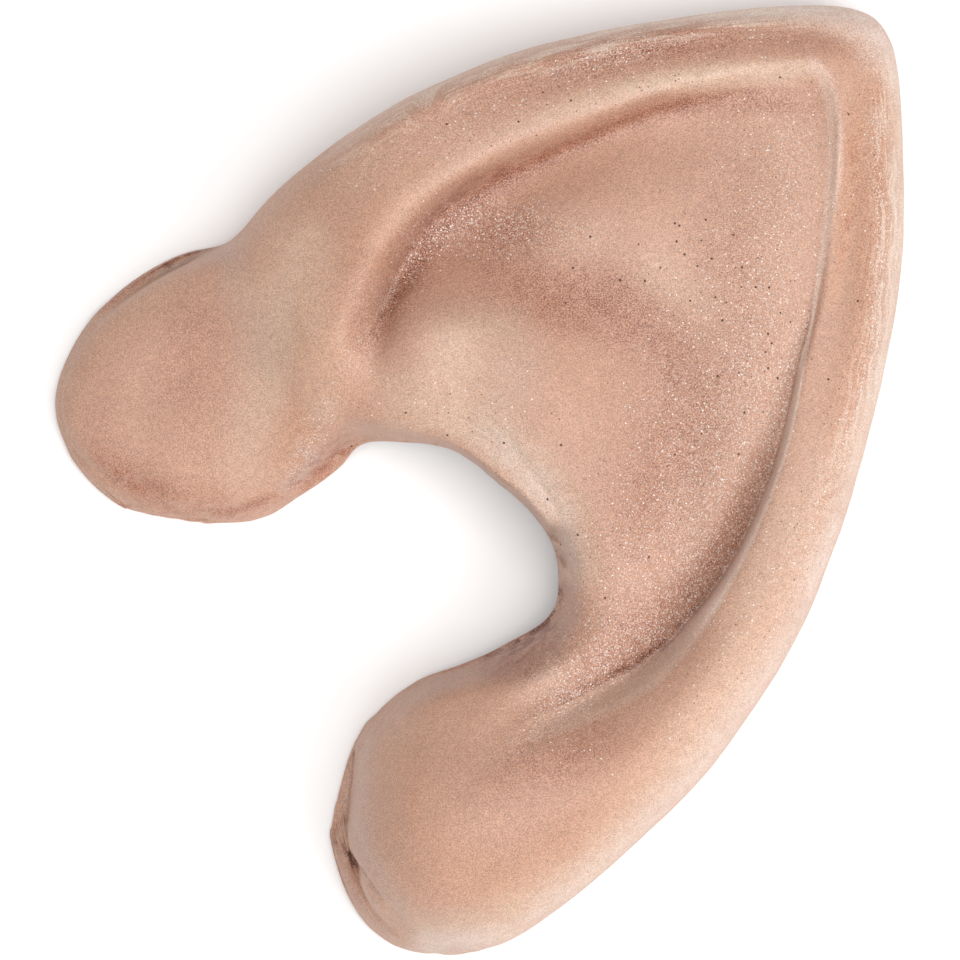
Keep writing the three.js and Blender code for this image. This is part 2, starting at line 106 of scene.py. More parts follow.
rounding = skin.modifiers.new("rounding", "SUBSURF")
rounding.levels = rounding.render_levels = SUBDIVISION_STEPS
bpy.context.view_layer.update()
rounded = bpy.data.meshes.new_from_object(
    skin.evaluated_get(bpy.context.evaluated_depsgraph_get()))
skin.modifiers.clear()
skin.data = rounded
rounded.name = "cast_skin"
print("rounded skin:", len(rounded.vertices), "points,", len(rounded.polygons), "faces")

# %% [markdown]
# ## Where things are on the skin
# Tints and tool marks need to know three things about each point: its place in plan, whether it
# is open to the sky, because spray and brush only reach such points, and how far it is from the
# free edge. The edge is measured from the skin itself: the furthest and the nearest point in
# each direction from the middle of the cut-out.


# %% Places of the points
def plan_of(mesh):
    """Places of a mesh's points: in plan from the tip's middle, and above the table, in mm."""
    flat = np.empty(len(mesh.vertices) * 3)
    mesh.vertices.foreach_get("co", flat)
    flat = flat.reshape(-1, 3)
    return np.column_stack(((flat[:, 0] - middle.x) / MM, (flat[:, 1] - middle.y) / MM,
                            (flat[:, 2] - cad_low.z) / MM))


spots = plan_of(rounded)
print("the highest point is", round(float(spots[:, 2].max()), 2), "mm above the table")

# %% Points that are open to the sky
LIFT_MM = .05
UP, DOWN = Vector((0, 0, 1)), Vector((0, 0, -1))


def open_to_sky(mesh, tree):
    """1 for points that nothing hides from above, else 0."""
    return np.array([0.0 if tree.ray_cast(vertex.co + vertex.normal * (LIFT_MM * MM), UP)[0]
                     else 1.0 for vertex in mesh.vertices])


skin_tree = BVHTree.FromPolygons([vertex.co for vertex in rounded.vertices],
                                 [tuple(face.vertices) for face in rounded.polygons])
sky = open_to_sky(rounded, skin_tree)
print(int(sky.sum()), "of", len(spots), "points are open to the sky")

# %% Free edge
CUT_OUT_MIDDLE = (-7.9, -8.0)
EDGE_DIRECTIONS = 230


def free_edge(spots):
    """Points round the outline in plan, outer side first, then back along the cut-out."""
    away = spots[:, :2] - np.array(CUT_OUT_MIDDLE)
    bearing = np.degrees(np.arctan2(away[:, 1], away[:, 0]))
    reach = np.hypot(away[:, 0], away[:, 1])
    lowest = bearing.min()
    slot = ((bearing - lowest) / (bearing.max() - lowest) * (EDGE_DIRECTIONS - 1)).astype(int)
    outer, inner = [], []
    for number in range(EDGE_DIRECTIONS):
        held = np.flatnonzero(slot == number)
        if len(held):
            outer.append(spots[held[reach[held].argmax()], :2])
            inner.append(spots[held[reach[held].argmin()], :2])
    return np.array(outer + inner[::-1])


edge_line = free_edge(spots)
print("the outline has", len(edge_line), "points")

# %% [markdown]
# Every mark on the skin is laid along a line of points. One function finds how far each point of
# the skin is from a line, on which side of it, and how far along it. A brush stroke is such a
# line with a reach and a strength at each of its points, and it fades out towards its reach.

# %% Distance to a line
NOTHING = 1e-9


def along_line(xy, line):
    """Per point the distance to a line, its side and the place along it; then the line's run."""
    line = np.asarray(line, float)
    steps = np.hypot(*np.diff(line[:, :2], axis=0).T)
    run = np.concatenate(([0.0], np.cumsum(steps)))
    nearest = np.full(len(xy), np.inf)
    side = np.ones(len(xy))
    place = np.zeros(len(xy))
    for i in range(len(line) - 1):
        start, way = line[i, :2], line[i + 1, :2] - line[i, :2]
        offset = xy - start
        share = np.clip(offset @ way / max(way @ way, NOTHING), 0, 1)
        apart = np.hypot(*(offset - share[:, None] * way).T)
        closer = apart < nearest
        nearest[closer] = apart[closer]
        turned = way[0] * offset[:, 1] - way[1] * offset[:, 0]
        side[closer] = np.where(turned[closer] > 0, 1.0, -1.0)
        place[closer] = run[i] + share[closer] * steps[i]
    return nearest, side, place, run


# %% Brush strokes
def fade(share):
    """Smooth fall from 1 at nothing to 0 at one."""
    share = np.clip(share, 0, 1)
    return 1 - share * share * (3 - 2 * share)


def stroke(xy, rows):
    """Strength of one brush stroke. Its rows are x, y, reach and strength."""
    rows = np.asarray(rows, float)
    apart, _, place, run = along_line(xy, rows)
    reach = np.interp(place, run, rows[:, 2])
    strength = np.interp(place, run, rows[:, 3])
    return strength * fade(apart / reach)


def strokes(xy, layer):
    """Several strokes laid over each other."""
    bare = np.ones(len(xy))
    for rows in layer.values():
        bare *= 1 - stroke(xy, rows)
    return 1 - bare


# %% [markdown]
# ## Softening the lobes' edges
# On the real lobes the thin flash round the edge runs into the sculpted front in a soft slope,
# with a crease only here and there. A bevel needs a sharp edge to work on, and this corner is
# spread over many faces. So each point in the corner is lifted onto a rounded slope, which runs
# from the free edge to the height of the dome a little further in, and a few rounds of
# smoothing then melt the slope into what is round it. The shoulder beside the cut-out is filled
# in the same way, but there the slope drops only a little.

# %% Where the corner is filled
# Each row is x, y, reach and strength.
FRONT_LOBE = [(-37, 18.6, 3, .3), (-39, 15, 6, 1), (-41.5, 8, 6, 1), (-41.6, 1, 6, 1),
              (-38, -2.5, 6, 1), (-28, -4.6, 6, .85), (-21, -3.4, 5, .8), (-16.8, 0, 3, .3)]
LOWER_LOBE = [(0, -19, 4, .8), (-4, -21, 6, 1), (-10, -24, 6, 1), (-14, -30, 6, 1),
              (-15, -34.4, 5, 1), (-15, -37, 4, .5), (-13.6, -41, 4, .45), (-10, -45, 4, .45),
              (-6, -47.4, 5, .9), (1, -47.8, 5, 1)]
SHOULDER = [(-9, 4.6, 3, .1), (-3, 4.4, 5, .6), (1, 1.6, 6, .8), (5, -2, 6, .8), (7.4, -6, 5, .6),
            (8, -10, 5, .4), (8, -13, 4, 0)]
print(len(FRONT_LOBE) + len(LOWER_LOBE) + len(SHOULDER), "places along the filled corner")

# %% Nearest place on the free edge, and the way inwards from it
PINNED_MM = .35

edge_apart, _, edge_place, edge_run = along_line(spots[:, :2], edge_line)
at_edge = np.column_stack([np.interp(edge_place, edge_run, edge_line[:, axis])
                           for axis in (0, 1)])
inward = (spots[:, :2] - at_edge) / np.maximum(edge_apart, PINNED_MM / 4)[:, None]
print(int((edge_apart < PINNED_MM).sum()), "points lie by the free edge and are held there")

# %% Fill the corner behind the flash
FLASH_MM, SLOPE_MM, SLOPE_ROUNDNESS, SHOULDER_DROP_MM = 1.2, 2.8, 1.7, .9
MELTING_ROUNDS, MELTING_REACH_MM = 8, 5.6
OVERBRUSH, FAINTEST = 1.6, .02
RAY_FROM_M = 1

melted = bmesh.new()
melted.from_mesh(rounded)
melted.verts.ensure_lookup_table()
for rows, drop_mm in ((FRONT_LOBE, None), (LOWER_LOBE, None),
                      (SHOULDER, SHOULDER_DROP_MM)):
    softness = np.minimum(stroke(spots[:, :2], rows) * OVERBRUSH, 1) * sky
    softness *= 1 - fade(edge_apart / PINNED_MM)
    chosen = np.flatnonzero((softness > FAINTEST) & (edge_apart < MELTING_REACH_MM))
    for i in chosen:
        further_in = at_edge[i] + inward[i] * SLOPE_MM
        above = Vector((further_in[0] * MM + middle.x, further_in[1] * MM + middle.y,
                        RAY_FROM_M))
        dome = skin_tree.ray_cast(above, DOWN)[0]
        if dome and edge_apart[i] < SLOPE_MM:
            drop = drop_mm * MM if drop_mm else dome.z - cad_low.z - FLASH_MM * MM
            slope = dome.z - drop * (1 - edge_apart[i] / SLOPE_MM) ** SLOPE_ROUNDNESS
            point = melted.verts[i]
            point.co.z += max(slope - point.co.z, 0) * softness[i]
    for _ in range(MELTING_ROUNDS):
        bmesh.ops.smooth_vert(melted, verts=[melted.verts[i] for i in chosen], factor=.5,
                              use_axis_x=False, use_axis_y=False, use_axis_z=True)
melted.to_mesh(rounded)
melted.free()
filled = plan_of(rounded)
print("the fill lifts points by up to", round(float((filled - spots)[:, 2].max()), 2), "mm")
spots = filled

# %% [markdown]
# ## The crest line
# The right ridge meets the hollow of the ear in one crisp line. It is the clearest mark on the
# tip, so its place is kept as a line of its own, from the corner by the point down to the lower
# lobe, and the relief and the tints on both of its sides are measured from it.

# %% Crest line
# Each row is x and y, the start and end of the pale lip across the line and its strength, then the
# depth of the dark foot beside it and the foot's reach. Across the line, plus is rimwards. The
# pale lip is a painted highlight where the crest's edge catches the lamp. The dark foot is brown
# wash and painted shade under the ridge's wall.
CREST = np.array([
    (33.2, 42.2, -1.6, .1, .35, 0, 1), (34.1, 41.6, -1.6, .1, .45, 0, 1),
    (35.1, 40.2, -1.4, .1, .5, 0, 1), (35.8, 38.0, -1.3, .1, .5, 0, 1),
    (36.1, 35.0, -1.3, .1, .5, 0, 1), (36.2, 32.0, -1.4, .1, .5, 0, 1),
    (36.0, 29.5, -1.4, .1, .5, 0, 1), (35.4, 27.0, -1.0, .1, .55, 0, 1),
    (34.9, 24.0, -.8, .1, .6, 0, 1), (34.3, 21.0, -.6, .1, .6, .1, 1),
    (33.6, 18.0, -.3, .15, .75, .25, 1.2), (32.9, 15.0, 0, .3, .85, .35, 1.4),
    (32.2, 12.0, -.2, .34, 1, .35, 1.8), (31.5, 8.0, -.3, .34, 1, .35, 2.4),
    (30.6, 4.0, -.35, .34, 1, .35, 3.2), (29.4, 0, -.4, .36, 1, .35, 4),
    (27.8, -4.0, -.4, .4, 1, .25, 4.6), (25.9, -8.0, -.4, .5, 1, .25, 4.8),
    (23.2, -12.0, -.3, .9, 1, .35, 4.6), (19.4, -16.0, -.1, 1.8, .65, .7, 4),
    (16.1, -18.5, .2, 2.5, .5, .75, 3.4), (12.1, -20.5, .4, 3, .3, .65, 3),
    (8.1, -22.3, .6, 2.8, .25, .45, 2.6), (4.6, -23.8, .8, 2.4, .1, .3, 2)])
print("the crest line has", len(CREST), "points")

# %% Measure the skin from the crest line
FAR_FROM_CREST_MM = 12

apart, side, place, run = along_line(spots[:, :2], CREST)
crest_side = side * np.minimum(apart, FAR_FROM_CREST_MM)
lip_start, lip_end, lip_strength, foot_depth, foot_reach = (
    np.interp(place, run, CREST[:, column]) for column in (2, 3, 4, 5, 6))
near_ends = (place <= 0) | (place >= run[-1])
lip_strength = np.where(near_ends, 0, lip_strength) * sky
foot_depth = foot_depth * sky
lip_share = (crest_side - lip_start) / (lip_end - lip_start)
ways = np.gradient(CREST[:, :2], axis=0)
ways /= np.hypot(*ways.T)[:, None]
rimwards = np.column_stack([np.interp(place, run, -ways[:, 1]),
                            np.interp(place, run, ways[:, 0])])
print("the crest line is", round(float(run[-1]), 1), "mm long")

# %% [markdown]
# The inner side of the top rim ends in a second, softer line over the hollow's upper end. Brown
# wash ran down to it and stopped there.

# %% Fold line
# Each row is x, y, reach and strength.
FOLD = [(-11.2, 13.6, 1.6, .1), (-10.2, 16, 2.4, .45), (-8.6, 18.6, 3, .6), (-7, 21.8, 3.4, .7),
        (-4.9, 25, 3.6, .75), (-2.2, 27.6, 3.4, .8), (1.1, 29.9, 2.8, .8), (4.1, 31.4, 2.4, .75),
        (8.1, 33.5, 2.2, .65), (12.1, 35.3, 2.4, .65), (16.1, 36.8, 2.6, .65),
        (20.1, 38, 2.2, .55), (24.1, 38.8, 1.8, .45), (29.1, 39.2, 1.6, .35), (33, 39, 1.2, .2)]
print("the fold line has", len(FOLD), "points")

# %% [markdown]
# ## Relief
# Hand sculpting and casting leave the surface uneven: slow lumps a centimetre across, finer
# ripples, and tool marks that follow the rim. They are carved into the points, each moved along
# its own normal, so that they catch the light from every side. A bump texture alone would leave
# the outline too clean. The wall under the crest line is leaned back until it stands upright
# below the line, as the real one does, so that its dark foot meets the pale crest.

# %% Creases and tool marks
# Each row is x, y, reach and strength.
GROOVES = {
    "upper crevice of the front lobe": [(-37, 18.4, .7, .3), (-34, 20.4, .8, .7),
                                        (-30, 22.1, .9, .9), (-27.4, 23.6, .7, .3)],
    "crack in the lower lobe's flash": [(-13.9, -36.4, .7, .6), (-12.9, -38.2, .8, 1),
                                        (-11.9, -39.3, .8, 1), (-10.9, -40.6, .7, .8),
                                        (-9.8, -41.9, .7, .6), (-7.9, -43.6, .7, .4)],
    "lower crack of the front lobe": [(-41.6, 4, .5, .4), (-39.8, 1.8, .6, .6),
                                      (-37.6, .2, .7, .6), (-35, -.6, 1.2, .5),
                                      (-32, -1.4, 1.2, .4)],
    "fold between ridge and lower lobe": [(16.1, -19.4, 1.4, .4), (12.1, -21.4, 1.6, .5),
                                          (8, -23.2, 1.6, .4), (4.6, -24.8, 1.2, .2)],
    "tool mark beside the cut-out": [(2.8, 3.6, .5, .25), (5.8, 0, .5, .3), (8, -3.4, .5, .25)],
}
GROOVE_DEPTH_MM = .45
print("grooves:", ", ".join(GROOVES))

# %% Lumps
LUMP_MM, LUMP_HEIGHT_MM = 9.0, .16
RIPPLE_MM, RIPPLE_HEIGHT_MM = 2.4, .055
FLASH_LUMP_MM, FLASH_HEIGHT_MM = 1.6, .16
FLASH_REACH_SHARE, FLASH_STRENGTH_SHARE = .4, .9
SEED_STEPS = (7.3, 3.1, 1.7)


def bumps(size_mm, seed):
    """Smooth noise between -1 and 1 whose lumps are about this size."""
    shift = Vector([seed * step for step in SEED_STEPS])
    return np.array([noise.noise(Vector(spot) / size_mm + shift) for spot in spots])


flash_zone = strokes(spots[:, :2], {
    name: [(x, y, reach * FLASH_REACH_SHARE, share * FLASH_STRENGTH_SHARE)
           for x, y, reach, share in rows]
    for name, rows in (("front", FRONT_LOBE), ("lower", LOWER_LOBE))})
move = bumps(LUMP_MM, 1) * LUMP_HEIGHT_MM + bumps(RIPPLE_MM, 2) * RIPPLE_HEIGHT_MM
move += bumps(FLASH_LUMP_MM, 3) * FLASH_HEIGHT_MM * flash_zone
print("lumps stand up to", round(float(np.abs(move).max()), 2), "mm off the smooth skin")

# %% Carve grooves, lip and foot
LIP_HEIGHT_MM, LIP_MIDDLE, LIP_SPREAD = .07, .5, .9
FOOT_DEPTH_MM, FOOT_GROOVE_MM = .15, 1.6
HELD_BELOW_MM = .6

move -= strokes(spots[:, :2], GROOVES) * GROOVE_DEPTH_MM * sky
move += LIP_HEIGHT_MM * lip_strength * fade(np.abs(lip_share - LIP_MIDDLE) / LIP_SPREAD)
move -= (FOOT_DEPTH_MM * foot_depth
         * np.where(crest_side < 0, fade(-crest_side / FOOT_GROOVE_MM), 0))
held_down = np.clip(spots[:, 2] / HELD_BELOW_MM, 0, 1)
normals = np.array([vertex.normal[:] for vertex in rounded.vertices])
moved = spots + normals * (move * held_down)[:, None]
moved[:, 2] = np.maximum(moved[:, 2], 0)
print("relief moves points by", round(float(move.min()), 2), "to",
      round(float(move.max()), 2), "mm")

# %% Lean the wall back, and set the points
# The lean starts, is whole and ends at these places along y.
WALL_LEAN_MM, WALL_TOP_MM, WALL_REACH_MM = .85, 1.1, 2.2
LEAN_ALONG_Y = (-17, -13, 10, 18)

wall_lean = np.interp(spots[:, 1], LEAN_ALONG_Y, (0, WALL_LEAN_MM, WALL_LEAN_MM, 0))
wall_lean = wall_lean * fade(np.abs(crest_side - WALL_TOP_MM) / WALL_REACH_MM) * ~near_ends * sky
moved[:, :2] -= rimwards * wall_lean[:, None]
crest_side = crest_side - wall_lean
lip_share = (crest_side - lip_start) / (lip_end - lip_start)
place_m = np.column_stack((moved[:, 0] * MM + middle.x, moved[:, 1] * MM + middle.y,
                           moved[:, 2] * MM + cad_low.z))
rounded.vertices.foreach_set("co", place_m.ravel())
rounded.update()
print("the wall leans back by up to", round(float(wall_lean.max()), 2), "mm")

# %% [markdown]
# ## Washes of tint
# The real tip was tinted by hand, so its colours follow its folds. A picture of the colours would
# suit one size only, and would hold the light and shade of its day too. So each wash is laid out
# in strokes, as it was brushed on. Each row below is x, y, reach in millimetres and strength.
# Brown wash settles in the recesses and along the top rim. Three of its strokes are also painted
# shade: at the foot of the right ridge, over the front lobe's middle, and in the lower lobe's
# shadow.

# %% Brown wash and painted shade
BROWN = {
    "top rim": [(-10, 34, 3, .1), (-3, 37, 4, .3), (4, 39.4, 4, .45), (12, 41.6, 3.8, .55),
                (18, 43.2, 3.4, .6), (26, 44.2, 2.8, .5), (34, 43.8, 2.4, .3),
                (38.5, 42.4, 2, .1)],
    "top rim's middle": [(8, 41, 2, .2), (13, 42.4, 2.2, .4), (20, 43.8, 2, .3)],
    "inner side of the rim": [(-10, 14.6, 2.2, .3), (-9.2, 18, 2.6, .45), (-7.6, 22, 2.8, .6),
                              (-5, 26, 2.6, .7), (-1, 29.2, 2.2, .7), (4, 31.2, 2, .65),
                              (9, 33.4, 1.8, .6), (13, 35.4, 1.9, .65), (18, 37.4, 2, .6),
                              (24, 37.6, 2.2, .6), (30, 37.6, 2, .45), (33, 37, 1.6, .2)],
    "fossa": [(-6, 22, 5, .3), (-2, 25.4, 5.5, .45), (3, 25.6, 5.5, .5), (6, 24.4, 4, .3)],
    "end of the rim's fold": [(-11.4, 22, 2.6, .25), (-12.2, 17, 2.6, .3), (-11.6, 13, 2.4, .2)],
    "fossa's floor": [(2, 24.4, 2.6, .25), (4.4, 24, 2.6, .35)],
    "fold above the antihelix": [(2, 20.4, 5, .4), (8, 18.4, 6, .7), (13.6, 17.6, 6.4, .8),
                                 (18.5, 13.6, 6, .6), (20.4, 8, 6, .4), (19, 2, 6, .25)],
    "right rim": [(39.4, 38, 3, .2), (39.2, 28, 3.2, .3), (38.4, 16, 3, .2), (36.4, 6, 3, .1)],
    "middle of the scapha": [(26, 30, 7, .2), (25, 22, 7, .35), (25, 12, 7, .3), (22, 3, 8, .35),
                             (16, -5, 8, .3)],
    "hollow of the scapha": [(19, 4, 8, .2), (15, -2, 8, .2)],
    # Brown wash and painted shade: the foot under the right ridge's wall.
    "foot of the right ridge": [(29, 2, 2.6, .15), (25.4, -5, 4, .4), (20.4, -10.6, 4.4, .55),
                                (15, -15.4, 4, .45), (10, -19, 3, .25)],
    "dip behind the cut-out": [(10, -16, 6, .25), (14, -14, 6, .3)],
    # Painted shade: the front lobe's middle slopes away from the lamp.
    "front lobe": [(-28.5, 16, 5, .3), (-29, 9, 6, .25), (-28, 4, 5, .12)],
    "front lobe's edge": [(-38, 6, 3, .15), (-37, 2, 3.4, .3), (-33, -1, 3.4, .35),
                          (-27, -1.8, 3, .25)],
    "lower lobe's middle": [(12, -24, 5, .15), (8, -31, 7, .2), (2, -37, 6, .1)],
    # Painted shade: the lower lobe darkens towards the cut-out as it turns away from the lamp.
    "lower lobe's shadow": [(16, -26, 4, .1), (10, -26, 5, .35), (4, -28, 5, .35),
                            (0, -31, 5, .15)],
    "edge by the lower lobe": [(1, -18.6, 2.6, .5), (4, -18.4, 3.4, .6), (7, -17, 2.4, .4)],
}
print(len(BROWN), "strokes of brown wash")

# %% [markdown]
# The darkest tint lies in narrow places: the cracks and the crevice in the flash, the foot of the
# right ridge and the edge of the cut-out. In the cracks and the crevice it is painted shade, the
# line of shadow under the flash's edge. At the foot of the right ridge it is brown wash and
# painted shade under the wall.

# %% Dark wash and painted shade
DARK_TINT_AND_SHADE = {
    # Brown wash and painted shade under the right ridge's wall.
    "foot in shade": [(25.4, -8.4, 1.1, .1), (22.6, -12.4, 1.2, .3), (18.8, -16.3, 1.1, .65),
                      (15.6, -18.4, 1, .6), (11.6, -20.5, 1, .4), (7, -22.5, .9, .2)],
    "cut-out's corner": [(0, -17.5, .8, .4), (3.6, -16.6, 1.3, .9), (6, -15, 1.3, 1),
                         (7.4, -13.2, 1, .8), (8, -11, .6, .6)],
    "cut-out's edge": [(-2, 3.2, .4, .2), (.4, 1.4, .6, .4), (4.2, -1.6, .6, .5),
                       (6.6, -5, .6, .5), (7.7, -8, .6, .6), (8, -12, .6, .6)],
    "fossa's edge": [(-9.9, 15.4, .8, .2), (-7.4, 22.2, 1.2, .25), (-4.6, 26.4, 1.2, .35),
                     (0, 29.8, 1, .3), (5, 31.6, .8, .2)],
    # Painted shade: the line of shadow in the front lobe's upper crevice and in the lower flash's
    # crack.
    "pit in the upper crevice": [(-31.6, 21.6, .5, .8), (-30.9, 21.7, .5, .8)],
    "upper crevice": [(-30.2, 22.4, .7, .6), (-28.4, 23.3, .7, .6)],
    "crack in the lower flash": [(-13.6, -37, .5, .5), (-12.8, -38.2, .55, 1),
                                 (-11.9, -39.2, .55, 1), (-10.9, -40.6, .4, .4),
                                 (-9.8, -41.9, .4, .3)],
    "spot on the lower flash": [(-14.5, -36.5, .35, .9), (-14.4, -36.6, .35, .9)],
}
print(len(DARK_TINT_AND_SHADE), "strokes of dark wash")

# %% [markdown]
# A pale tint over the ridges and round the outer edge is painted light. The ridges and bulges that
# face the lamp on the lower right are painted lighter as highlights. The brinks are painted as rim
# light, where light wraps round the edges. The slope beside the cut-out is painted lighter where
# it turns away from the lamp. A grey tint is painted light on the lower lobe's edge, which is
# paler and greyer where the surface curves away. The grey also lies on the front lobe's root and
# brink, on the antihelix, by the neck and by the cut-out.

# %% Pale and grey tints: painted highlights and painted light
# Painted highlights on the ridges and bulges, painted rim light on the brinks, and painted light
# beside the cut-out.
PALE_PAINTED_LIGHT = {
    "band under the top rim": [(-7, 27.6, 3.4, .15), (-2, 31, 2.6, .2), (4, 34.6, 2.4, .2),
                               (10, 37.4, 2.4, .5), (18, 39.6, 2.2, .75), (26, 40.4, 2, .85),
                               (32, 40.8, 1.8, .8)],
    "crest of the antihelix": [(-8, 9, 4, .35), (-3, 9, 6, .45), (-2, 14.4, 5, .55),
                               (3, 16, 3.6, .35)],
    "front of the hollow": [(8, 17, 5, 0), (17, 20, 5, .35), (22, 17, 5, .2)],
    "beside the cut-out": [(-8, 6, 3, .25), (0, 5.6, 4.4, .45), (4.4, 1.6, 4.6, .65),
                           (8.4, -4, 4, .6), (10, -9, 3.4, .4)],
    "lower rim": [(34, 2, 5, .2), (30, -8, 5, .35), (25, -19, 5, .4), (18, -30, 4.4, .4),
                  (10, -39, 4.4, .45), (1, -44, 4, .55), (-5, -45.8, 3.4, .6)],
    "top rim's brink": [(-14, 33.6, 1.8, .35), (-4, 39.6, 1.6, .5), (8, 44, 1.5, .55),
                        (22, 46.8, 1.4, .5), (34, 47.6, 1.4, .5)],
    "right rim's brink": [(41.6, 40, 2, .6), (42.2, 26, 2, .6), (41, 14, 2.2, .6),
                          (37.6, 2, 2.6, .6)],
    "root of the front lobe": [(-23, 1.6, 5, .35), (-21, 10, 5, .5), (-19.6, 16, 5, .55),
                               (-17.6, 23, 5, .4), (-16, 8, 4, .3)],
}
GREY_TINT_AND_PAINTED_LIGHT = {
    "root of the front lobe": [(-25, 23.4, 2.4, .3), (-23.6, 18, 3.6, .3), (-22.6, 12, 3, .15)],
    "crest of the antihelix": [(4, 12, 4.6, .3), (2, 6, 4.6, .25)],
    "beside the cut-out": [(2, 4, 2.4, .3), (6.4, 0, 2.4, .4), (9, -4.4, 2.2, .35),
                           (9.6, -10, 2, .3)],
    # Painted light: the lower lobe's edge is paler and greyer where it curves away.
    "lower lobe's edge": [(-11.6, -26.6, 2.4, .35), (-12.6, -33, 2.2, .4), (-11, -37.6, 1.6, .4),
                          (-8, -42, 1.8, .25)],
    "corner of the cut-out": [(4, -20, 2, .3), (7, -18.6, 1.8, .4), (8.6, -15, 1.4, .3)],
    "front lobe's brink": [(-32.6, 20.6, .5, .5), (-29, 22.2, .5, .6), (-26, 23.6, .7, .5)],
    "by the neck": [(-18, 3.6, 1, .3), (-16.4, 2, 1, .4), (-19.6, -1, 1, .3)],
}
print(len(PALE_PAINTED_LIGHT), "pale strokes and", len(GREY_TINT_AND_PAINTED_LIGHT), "grey ones")

# %% [markdown]
# The rubber is warmer and more orange on the rims, where it is thick, and redder on the flash
# and in its creases.

# %% Warm and red tints
WARM = {
    "channel of the right rim": [(38.4, 38, 1.8, .3), (37.4, 33, 1.5, .6), (37, 28, 1.5, .6),
                                 (36, 22, 1.4, .45), (35.4, 18, 1.6, .3)],
    "right rim": [(40, 40, 2.6, .6), (39.6, 30, 3, .7), (38.4, 16, 3, .5), (36, 4, 3, .3)],
    "lower rim": [(33, -4, 4, .25), (28, -14, 5, .35), (20, -25, 5, .4), (12, -34, 5, .4),
                  (4, -41, 4, .3)],
    "top of the front lobe": [(-16, 17, 5, .5), (-16, 10, 5, .5), (-19, 4, 5, .45)],
    "lower lobe": [(-8, -28, 4, .35), (-4, -36, 5, .15), (4, -43, 3, .35)],
    "rim above the neck": [(-13, 22, 5, .3), (-6, 31, 4, .25)],
    "fold above the antihelix": [(5, 18.4, 4, .25), (10, 17.6, 4, .25)],
}
RED = {
    "front lobe's upper flash": [(-38.4, 17, .9, .35), (-36, 19.4, 1, .5), (-32, 22, 1.1, .7),
                                 (-28.6, 23.6, .8, .7)],
    "front lobe's lower crease": [(-38.6, 3, 1.2, .2), (-36.4, .6, 1.6, .45), (-33, -1, 1.6, .55),
                                  (-30.6, -1.8, 1.2, .3)],
    "front lobe's lower edge": [(-36, -2.6, 1, .3), (-27, -3.4, 1.2, .3), (-24.4, -3.2, 1.2, .55),
                                (-20, -1.6, 1.2, .4)],
    "neck's edge": [(-18.4, -.4, 1.6, .6), (-15.6, 1.8, 1.9, .75), (-13.4, 3.8, 1.8, .7)],
    "cut-out's corner": [(-1, -17.8, 1.6, .5), (4, -17, 2.2, .7), (7, -14.8, 1.8, .7)],
    "channel of the right rim": [(37.4, 37, .9, .15), (37.2, 31, 1, .3), (36.8, 26, 1, .3),
                                 (35.9, 21, .8, .2)],
    "lower lobe's flash": [(-14.6, -35, .8, .3), (-13.6, -39.4, 1.4, .35), (-11.4, -42.4, 1.6, .3),
                           (-9, -44.8, 1.2, .15)],
    "lower lobe's upper edge": [(-11, -22.4, .9, .35), (-5.6, -19.8, 1, .5), (-.4, -17.6, 1, .5)],
}
print(len(WARM), "warm strokes and", len(RED), "red ones")

# %% [markdown]
# Last, pale tint was stippled and brushed over everything. In the hollow it caught on the tooth of
# the skin as a bloom of fine specks, and along the rims it lies in streaks. The nearly white tint
# on the brinks is painted rim light, where light wraps round the rims' outer edges. Beside the
# cut-out it is painted light on a slope that turns away from the lamp.

# %% Bloom, painted rim light and brushed tints
BLOOM = {
    "whole hollow": [(28, 34, 12, .3), (26, 18, 14, .35), (20, 2, 14, .4), (10, -14, 10, .3)],
    "fossa": [(-8.4, 18, 3, .4), (-6, 24, 4, .7), (0, 26, 5, .75), (6, 25, 5, .75),
              (12, 24, 4, .5)],
    "end of the rim's fold": [(-10.6, 18, 3.4, .5), (-11.4, 14, 3, .6), (-14, 10, 2.4, .3)],
    "foot of the right ridge": [(32, 16, 2.4, .7), (29.4, 5, 3.2, .8), (26, -5, 3.8, .9),
                                (20, -13, 4, .9), (13, -18, 3.6, .8), (6, -22, 3.4, .7)],
    "scapha": [(31, 34, 4, .5), (30, 24, 4, .4), (26, 4, 6, .5), (19, -8, 6, .5),
               (12, -16, 5, .3)],
    "right rim": [(39.6, 36, 1.6, .6), (40.2, 24, 1.4, .9), (39, 12, 1.6, .9), (36, 2, 1.8, .8),
                  (31, -8, 2.6, .3)],
    "top rim": [(8, 40.6, 2.6, .5), (13, 42.6, 2.2, .9), (18, 43, 2.2, .4)],
    "rim above the neck": [(-12, 30, 4, .3), (-4, 34, 4, .35), (6, 36, 3, .3)],
    "neck": [(-17, 3, 2.4, 1), (-19, 0, 2, .8), (-15, 7, 2.4, .6)],
    "tail of the fold": [(10, -22, 3, .6), (5, -25.6, 3, .5), (1, -27.6, 2, .3)],
    "point": [(39, 43, 3, .7), (42, 38, 2, .5)],
}
